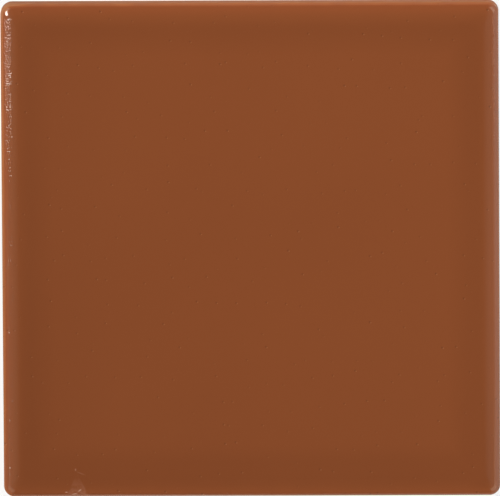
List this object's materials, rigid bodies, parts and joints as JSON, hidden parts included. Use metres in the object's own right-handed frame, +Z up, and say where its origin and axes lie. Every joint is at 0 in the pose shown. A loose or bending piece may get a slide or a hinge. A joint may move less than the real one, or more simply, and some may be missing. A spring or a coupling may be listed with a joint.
{
  "type": "ceramic floor tile",
  "caption": "Square ceramic floor tile with a glazed face, cushioned edges that roll into rounded corners, and a bed with drafted square keys.",
  "frame": {"origin": "middle of the bed, the plane that the tile lies on", "axes": "+Z up through the thickness and out of the glazed face; X and Y along the sides"},
  "size_m": [0.108, 0.108, 0.008],
  "materials": {
    "glazed_body": "gloss"
  },
  "bodies": {
    "root": {"tile": "glazed_body"}
  },
  "joints": []
}
